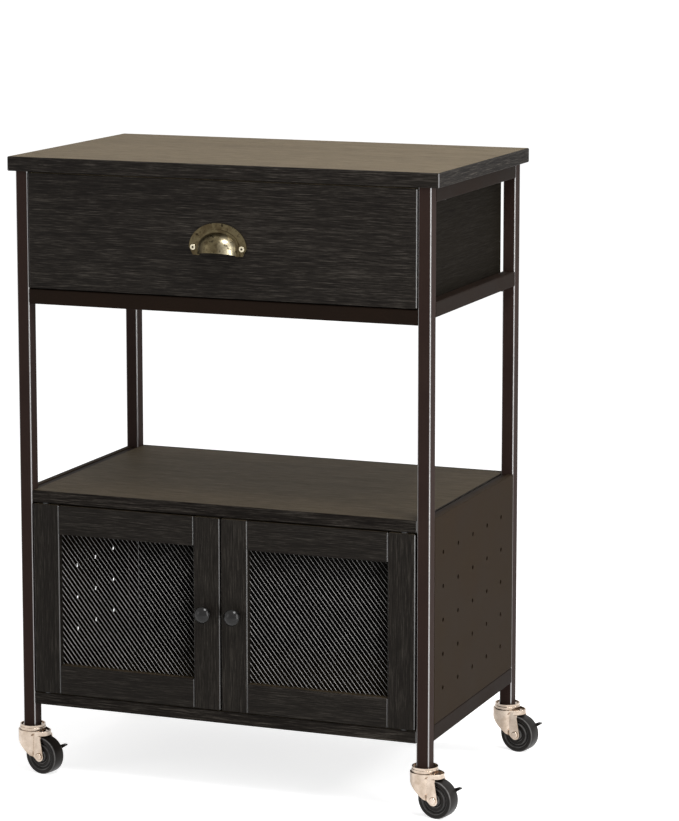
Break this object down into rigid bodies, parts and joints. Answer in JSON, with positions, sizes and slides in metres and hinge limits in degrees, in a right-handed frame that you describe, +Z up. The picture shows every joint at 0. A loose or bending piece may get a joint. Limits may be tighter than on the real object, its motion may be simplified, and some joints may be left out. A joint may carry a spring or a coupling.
{
  "type": "coffee bar cart",
  "caption": "Rolling coffee bar cart: black wood-grain boards on a tube frame, with a cup-pull drawer, an open bay, a cabinet with mesh doors and perforated sides, and braked casters.",
  "frame": {"origin": "on the floor, straight below the middle of the top board", "axes": "+Z up, -Y to the front where the drawer and doors are, +X to the right as seen from the front"},
  "size_m": [0.6294, 0.3871, 0.83],
  "materials": {
    "black_oak": "black oak-grain laminate, satin, grain across",
    "black_oak_upright": "black oak-grain laminate, satin, grain upright",
    "drawer_board": "black laminated drawer board, matt",
    "backer_board": "black paper-faced backer board, matt",
    "frame_paint": "brown-black powder coat, satin",
    "panel_paint": "brown-black powder coat, satin",
    "mesh_paint": "black powder coat on expanded metal",
    "antique_brass": "antique brass with dark patina",
    "satin_nickel": "warm satin nickel plate",
    "wheel_black": "black moulded wheel",
    "brake_black": "black painted lever",
    "knob_black": "gloss black enamel",
    "zinc_steel": "zinc plated steel",
    "bright_nickel": "bright nickel screw",
    "nylon": "black nylon"
  },
  "bodies": {
    "frame": {"bay_back_panel": "backer_board", "bottom_shelf": "black_oak", "cabinet_back_panel": "backer_board", "caster_stems": "satin_nickel", "cross_rails": "frame_paint", "frame_screws": "zinc_steel", "front_left_leg": "frame_paint", "front_right_leg": "frame_paint", "left_bay_panel": "black_oak", "left_perforated_panel": "panel_paint", "left_side_rails": "frame_paint", "leg_inserts": "nylon", "magnetic_catches": "nylon", "middle_shelf": "black_oak", "pivot_bushes": "nylon", "rear_left_leg": "frame_paint", "rear_right_leg": "frame_paint", "right_bay_panel": "black_oak", "right_perforated_panel": "panel_paint", "right_side_rails": "frame_paint", "shelf_brackets": "frame_paint", "slide_cabinet_members": "zinc_steel", "top_board": "black_oak"},
    "drawer": {"drawer_front": "black_oak", "drawer_left_side": "drawer_board", "drawer_right_side": "drawer_board", "drawer_back": "drawer_board", "drawer_bottom": "drawer_board", "slide_drawer_members": "zinc_steel", "cup_pull": "antique_brass", "drawer_screws": "bright_nickel"},
    "slide_cages": {"slide_ball_cages": "zinc_steel"},
    "left_door": {"left_door_stiles": "black_oak_upright", "left_door_rails": "black_oak", "left_door_mesh": "mesh_paint", "left_door_knob": "knob_black", "left_door_pivot_pins": "zinc_steel", "left_door_strike_plate": "zinc_steel"},
    "right_door": {"right_door_stiles": "black_oak_upright", "right_door_rails": "black_oak", "right_door_mesh": "mesh_paint", "right_door_knob": "knob_black", "right_door_pivot_pins": "zinc_steel", "right_door_strike_plate": "zinc_steel"},
    "front_left_fork": {"front_left_caster_fork": "satin_nickel", "front_left_caster_axle": "satin_nickel"},
    "front_left_wheel": {"front_left_caster_wheel": "wheel_black"},
    "front_left_brake": {"front_left_caster_brake_lever": "brake_black"},
    "front_right_fork": {"front_right_caster_fork": "satin_nickel", "front_right_caster_axle": "satin_nickel"},
    "front_right_wheel": {"front_right_caster_wheel": "wheel_black"},
    "front_right_brake": {"front_right_caster_brake_lever": "brake_black"},
    "rear_left_fork": {"rear_left_caster_fork": "satin_nickel", "rear_left_caster_axle": "satin_nickel"},
    "rear_left_wheel": {"rear_left_caster_wheel": "wheel_black"},
    "rear_left_brake": {"rear_left_caster_brake_lever": "brake_black"},
    "rear_right_fork": {"rear_right_caster_fork": "satin_nickel", "rear_right_caster_axle": "satin_nickel"},
    "rear_right_wheel": {"rear_right_caster_wheel": "wheel_black"},
    "rear_right_brake": {"rear_right_caster_brake_lever": "brake_black"}
  },
  "joints": [
    {"name": "drawer_slide", "type": "slide", "parent": "frame", "child": "drawer", "axis": [0, -1, 0], "range_m": [0, 0.22]},
    {"name": "slide_cage_travel", "type": "slide", "parent": "frame", "child": "slide_cages", "axis": [0, -1, 0], "range_m": [0, 0.11]},
    {"name": "left_door_hinge", "type": "hinge", "parent": "frame", "child": "left_door", "pos_m": [-0.2535, -0.1725, 0.241], "axis": [0, 0, -1], "range_deg": [0, 110]},
    {"name": "right_door_hinge", "type": "hinge", "parent": "frame", "child": "right_door", "pos_m": [0.2535, -0.1725, 0.241], "axis": [0, 0, 1], "range_deg": [0, 110]},
    {"name": "front_left_caster_swivel", "type": "hinge", "parent": "frame", "child": "front_left_fork", "pos_m": [-0.28025, -0.168, 0.054], "axis": [0, 0, 1], "continuous": true},
    {"name": "front_left_wheel_spin", "type": "hinge", "parent": "front_left_fork", "child": "front_left_wheel", "pos_m": [-0.26074, -0.1724, 0.025], "axis": [0.2198, 0.9755, 0], "continuous": true},
    {"name": "front_left_brake_press", "type": "hinge", "parent": "front_left_fork", "child": "front_left_brake", "pos_m": [-0.26074, -0.1724, 0.025], "axis": [0.2198, 0.9755, 0], "range_deg": [0, 22]},
    {"name": "front_right_caster_swivel", "type": "hinge", "parent": "frame", "child": "front_right_fork", "pos_m": [0.28025, -0.168, 0.054], "axis": [0, 0, 1], "continuous": true},
    {"name": "front_right_wheel_spin", "type": "hinge", "parent": "front_right_fork", "child": "front_right_wheel", "pos_m": [0.29976, -0.1724, 0.025], "axis": [0.2198, 0.9755, 0], "continuous": true},
    {"name": "front_right_brake_press", "type": "hinge", "parent": "front_right_fork", "child": "front_right_brake", "pos_m": [0.29976, -0.1724, 0.025], "axis": [0.2198, 0.9755, 0], "range_deg": [0, 22]},
    {"name": "rear_left_caster_swivel", "type": "hinge", "parent": "frame", "child": "rear_left_fork", "pos_m": [-0.28025, 0.166, 0.054], "axis": [0, 0, 1], "continuous": true},
    {"name": "rear_left_wheel_spin", "type": "hinge", "parent": "rear_left_fork", "child": "rear_left_wheel", "pos_m": [-0.26074, 0.1616, 0.025], "axis": [0.2198, 0.9755, 0], "continuous": true},
    {"name": "rear_left_brake_press", "type": "hinge", "parent": "rear_left_fork", "child": "rear_left_brake", "pos_m": [-0.26074, 0.1616, 0.025], "axis": [0.2198, 0.9755, 0], "range_deg": [0, 22]},
    {"name": "rear_right_caster_swivel", "type": "hinge", "parent": "frame", "child": "rear_right_fork", "pos_m": [0.28025, 0.166, 0.054], "axis": [0, 0, 1], "continuous": true},
    {"name": "rear_right_wheel_spin", "type": "hinge", "parent": "rear_right_fork", "child": "rear_right_wheel", "pos_m": [0.29976, 0.1616, 0.025], "axis": [0.2198, 0.9755, 0], "continuous": true},
    {"name": "rear_right_brake_press", "type": "hinge", "parent": "rear_right_fork", "child": "rear_right_brake", "pos_m": [0.29976, 0.1616, 0.025], "axis": [0.2198, 0.9755, 0], "range_deg": [0, 22]}
  ],
  "couplings": [
    {"joint": "slide_cage_travel", "follows": "drawer_slide", "ratio": 0.5}
  ]
}
